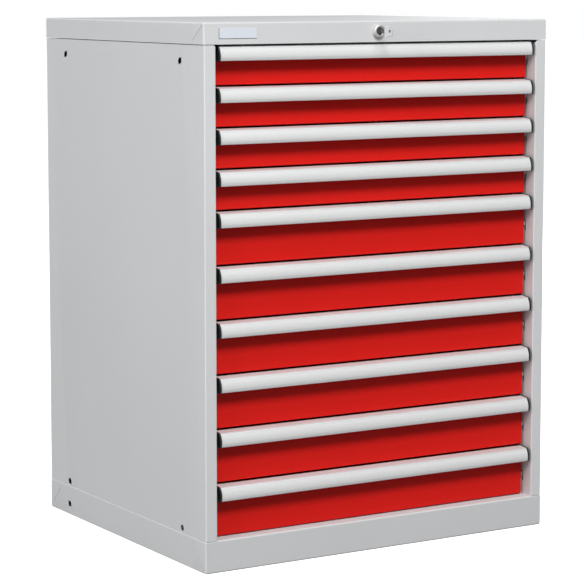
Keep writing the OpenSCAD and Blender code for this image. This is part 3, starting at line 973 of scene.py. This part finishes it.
def makeHandle(name, drawer):
    low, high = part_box(drawer + "_handle")
    top = high.z + grip["topGap"]
    run = Vector((high.x - low.x, 0, 0))
    centre = Vector((low.x, frontY + grip["centreY"] * mm, top + grip["centreZ"] * mm))
    outer, inner = grip["radius"], grip["radius"] - grip["lipStep"]

    bm = bmesh.new()
    first = bm.verts.new(onCurve(low.x, top, grip["faceTop"], outer))
    lip = spinDown(bm, first, centre, grip["faceTop"], grip["upperLip"], outer, 2)
    floorStart = bm.verts.new(onCurve(low.x, top, grip["upperLip"] - 0.1, inner))
    bm.edges.new((lip, floorStart))
    floorEnd = spinDown(bm, floorStart, centre, grip["upperLip"] - 0.1, grip["lowerLip"] + 0.1, inner, 12)
    lipStart = bm.verts.new(onCurve(low.x, top, grip["lowerLip"], outer))
    bm.edges.new((floorEnd, lipStart))
    spinDown(bm, lipStart, centre, grip["lowerLip"], grip["faceFoot"], outer, 3)
    drawOut(bm, bm.edges[:], run)
    faceAway(bm, centre)
    thicken(bm, grip["wall"])
    outline = [at(0, y, 0) + Vector((low.x, 0, top + z * mm)) for y, z in grip["ledge"]]
    addPrism(bm, outline, run, 0.3 * mm)
    bead = grip["beadRadius"]
    beadPlace = onCurve(0, top, grip["beadZ"], outer - bead)
    bmesh.ops.create_cone(bm, cap_ends=True, segments=20, radius1=bead, radius2=bead, depth=run.x,
                          matrix=Matrix.Translation(beadPlace) @ Matrix.Rotation(math.pi / 2, 4, "Y"))
    finishPiece(name + "Handle", bm, [handleAluminium], drawer, [drawer + "_handle"])

    bm = bmesh.new()
    inset, stripRadius = grip["stripInset"], outer - grip["stripInset"]
    upper, lower = grip["upperLip"] - grip["stripGap"], grip["lowerLip"] + grip["stripGap"]
    start = bm.verts.new(onCurve(low.x + inset, top, upper, stripRadius))
    spinDown(bm, start, centre, upper, lower, stripRadius, 14)
    drawOut(bm, bm.edges[:], run - Vector((2 * inset, 0, 0)))
    faceAway(bm, centre)
    thicken(bm, grip["stripWall"])
    finishPiece(name + "LabelStrip", bm, [stripCover], drawer)


endCap = {
    "width": 3 * mm,
    "proud": 0.8 * mm,
    "backY": 24.8 * mm,
    "backTop": 0.6 * mm,
    "backFoot": 29.7 * mm,
    "faceTop": -2.9,
    "faceFoot": -29.6,
    "footRadius": 2.2 * mm,
    "rim": 1.6 * mm,
    "panelDepth": 0.5 * mm,
}


def makeEndCaps(name, drawer):
    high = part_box(drawer + "_end_caps")[1]
    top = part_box(drawer + "_handle")[1].z + grip["topGap"]
    x = high.x - endCap["width"]
    outer = grip["radius"] + endCap["proud"]
    centre = Vector((x, frontY + grip["centreY"] * mm, top + grip["centreZ"] * mm))
    bm = bmesh.new()
    back = bm.verts.new((x, frontY + endCap["backY"], top - endCap["backTop"]))
    first = bm.verts.new(onCurve(x, top, endCap["faceTop"], outer))
    bm.edges.new((back, first))
    last = spinDown(bm, first, centre, endCap["faceTop"], endCap["faceFoot"], outer, 16)
    foot = bm.verts.new((x, frontY + endCap["backY"], top - endCap["backFoot"]))
    bm.edges.new((last, foot))
    bm.edges.new((foot, back))
    bmesh.ops.contextual_create(bm, geom=bm.edges[:])
    bm.normal_update()
    roundCorners(bm, [vert for vert in (last, foot) if vert.is_valid], endCap["footRadius"])
    made = bmesh.ops.extrude_face_region(bm, geom=bm.faces[:])["geom"]
    bmesh.ops.translate(bm, verts=vertsOf(made), vec=(endCap["width"], 0, 0))
    bmesh.ops.recalc_face_normals(bm, faces=bm.faces[:])
    bm.normal_update()
    cap = max(bm.faces, key=lambda part: part.calc_center_median().x)
    bmesh.ops.inset_region(bm, faces=[cap], thickness=endCap["rim"], depth=0)
    bmesh.ops.inset_region(bm, faces=[cap], thickness=0.4 * mm, depth=-endCap["panelDepth"])
    rim = [edge for edge in bm.edges if edge.calc_face_angle(0) > squareAngle
           and all(vert.co.x > high.x - touching for vert in edge.verts)]
    roundEdges(bm, rim, 0.5 * mm, 3)
    mirrorCopy(bm)
    finishPiece(name + "EndCaps", bm, [capPlastic], drawer, [drawer + "_end_caps"])


roller = {
    "radius": 15 * mm,
    "width": 8.6 * mm,
    "hub": 6 * mm,
    "outwardDepths": (385 * mm, 590 * mm),
    "inwardDepths": (80 * mm, 290 * mm),
    "reach": 9.7 * mm,
}

carriage = {
    "sheet": 2 * mm,
    "cornerRadius": 6 * mm,
    "openingRadius": 7 * mm,
    "openingDepths": (140 * mm, 215 * mm, 345 * mm, 450 * mm, 520 * mm),
}


def addRoller(bm, place, direction):
    # a nylon tyre on a steel bearing, held by a riveted axle
    r, w, hub = roller["radius"], roller["width"], roller["hub"]
    tyre = addLathe(bm, [(hub, 0.8 * mm), (r - 1.4 * mm, 0.8 * mm), (r - 0.2 * mm, 1.6 * mm),
                         (r - 0.05 * mm, 2.6 * mm), (r - 0.05 * mm, w - 1.2 * mm),
                         (r - 0.8 * mm, w - 0.1 * mm), (r - 3 * mm, w), (hub + 1.2 * mm, w),
                         (hub, w - 0.8 * mm)], place, direction, 28, True)
    for face in tyre:
        face.material_index = 1
    addLathe(bm, [(0, 0), (hub - 0.1 * mm, 0), (hub - 0.1 * mm, w - 1.3 * mm), (hub - 1.6 * mm, w - 1.3 * mm),
                  (hub - 2 * mm, w - 0.6 * mm), (2.6 * mm, w - 0.2 * mm), (1.8 * mm, w + 0.4 * mm),
                  (0, w + 0.6 * mm)], place, direction, 20)


def makeCarriages(name, drawer, body):
    low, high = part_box(drawer + "_carriages")
    sheet = carriage["sheet"]
    webX = high.x - roller["reach"] - sheet
    middleZ = (low.z + high.z) / 2
    bm = bmesh.new()
    corners = ((low.y, low.z), (high.y, low.z), (high.y, high.z), (low.y, high.z))
    face = bm.faces.new([bm.verts.new((webX, y, z)) for y, z in corners])
    bm.normal_update()
    roundCorners(bm, face.verts[:], carriage["cornerRadius"])
    for depth in carriage["openingDepths"]:
        punchHole(bm, Vector((webX, frontY + depth, middleZ)), axisX, carriage["openingRadius"])
    faceAway(bm, (webX + 10 * mm, (low.y + high.y) / 2, middleZ))
    thicken(bm, sheet)
    for depth in roller["outwardDepths"]:
        addRoller(bm, (webX + sheet, frontY + depth, middleZ), (1, 0, 0))
    for depth in roller["inwardDepths"]:
        addRoller(bm, (webX, frontY + depth, middleZ), (-1, 0, 0))
    mirrorCopy(bm)
    finishPiece(name + "Carriages", bm, [zincSteel, rollerNylon], body, [drawer + "_carriages"])


bodyOf = {node: body for body, nodes in frame["record"]["behaviour"]["bodies"].items() for node in nodes}
for drawer in drawerNames:
    label = "drawer" + drawer[-2:]
    makeFront(label, drawer)
    makeTray(label, drawer)
    makeHandle(label, drawer)
    makeEndCaps(label, drawer)
    makeCarriages(label, drawer, bodyOf[drawer + "_carriages"])
print("drawers made")


studio = {
    "camera": (-2.3762, -3.8762, 1.0685),
    "pitch": 0.1082,
    "yaw": 0.54732,
    "lens": 141.9,
    "shift": -0.1,             # a larger shift would cut other views
    "floorSize": 30,
    "skyLight": 0.24,
    "floorBounce": 0.24,
    "floorGlow": 0.9,
}

softLights = {                 # each light's place, aim, size and power
    "keyLight": ((-0.6, -4.0, 4.4), (0, -0.3, 0.6), (3.0, 1.6), 274.0),
    "sideLight": ((-4.9, -0.8, 2.2), (0, 0, 0.5), (3.0, 2.4), 162.0),
    "backLight": ((4.4, 3.6, 1.7), (0, 0, 0.5), (3.0, 2.0), 120.0),
}


def makeFloor():
    bm = bmesh.new()
    bmesh.ops.create_grid(bm, x_segments=2, y_segments=2, size=studio["floorSize"])
    mesh = bpy.data.meshes.new("floor")
    bm.to_mesh(mesh)
    bm.free()
    floor = bpy.data.objects.new("floor", mesh)
    floor.location.z = cadLow.z - 0.2 * mm
    bpy.context.scene.collection.objects.link(floor)
    material = bpy.data.materials.new("paleFloor")
    material.use_nodes = True
    tree = material.node_tree
    tree.nodes.remove(tree.nodes["Principled BSDF"])
    bounce = addNode(tree, "BsdfDiffuse", {"Color": (*[studio["floorBounce"]] * 3, 1)})
    pale = addNode(tree, "BsdfDiffuse", {"Color": (0.8, 0.8, 0.8, 1)})
    glow = addNode(tree, "Emission", {"Color": (1, 1, 1, 1), "Strength": studio["floorGlow"]})
    seen = addNode(tree, "AddShader", {0: pale.outputs[0], 1: glow.outputs[0]})
    seenNow = addNode(tree, "LightPath").outputs["Is Camera Ray"]
    mixed = addNode(tree, "MixShader", {0: seenNow, 1: bounce.outputs[0], 2: seen.outputs[0]})
    tree.links.new(mixed.outputs[0], tree.nodes["Material Output"].inputs["Surface"])
    mesh.materials.append(material)


def addSoftLight(name, place, aim, size, power):
    data = bpy.data.lights.new(name, "AREA")
    data.shape = "RECTANGLE"
    data.size, data.size_y = size
    data.energy = power
    light = bpy.data.objects.new(name, data)
    light.location = place
    light.rotation_mode = "QUATERNION"
    light.rotation_quaternion = (Vector(aim) - Vector(place)).to_track_quat("-Z", "Y")
    bpy.context.scene.collection.objects.link(light)


makeFloor()
for name, (place, aim, size, power) in softLights.items():
    addSoftLight(name, place, aim, size, power)

world = bpy.data.worlds.new("studioWorld")
world.use_nodes = True
sky = world.node_tree.nodes["Background"]
sky.inputs[0].default_value = (1, 1, 1, 1)
seenSky = addNode(world.node_tree, "LightPath").outputs["Is Camera Ray"]
world.node_tree.links.new(spread(world.node_tree, seenSky, 0, 1, studio["skyLight"], 1.0), sky.inputs[1])
bpy.context.scene.world = world
bpy.context.scene.view_settings.view_transform = "Standard"

cameraData = bpy.data.cameras.new("camera")
cameraData.lens = studio["lens"]
cameraData.sensor_width = 36
cameraData.shift_y = studio["shift"]
camera = bpy.data.objects.new("camera", cameraData)
camera.location = studio["camera"]
camera.rotation_euler = (math.pi / 2 - studio["pitch"], 0, -studio["yaw"])
bpy.context.scene.collection.objects.link(camera)
bpy.context.scene.camera = camera
print("studio ready")
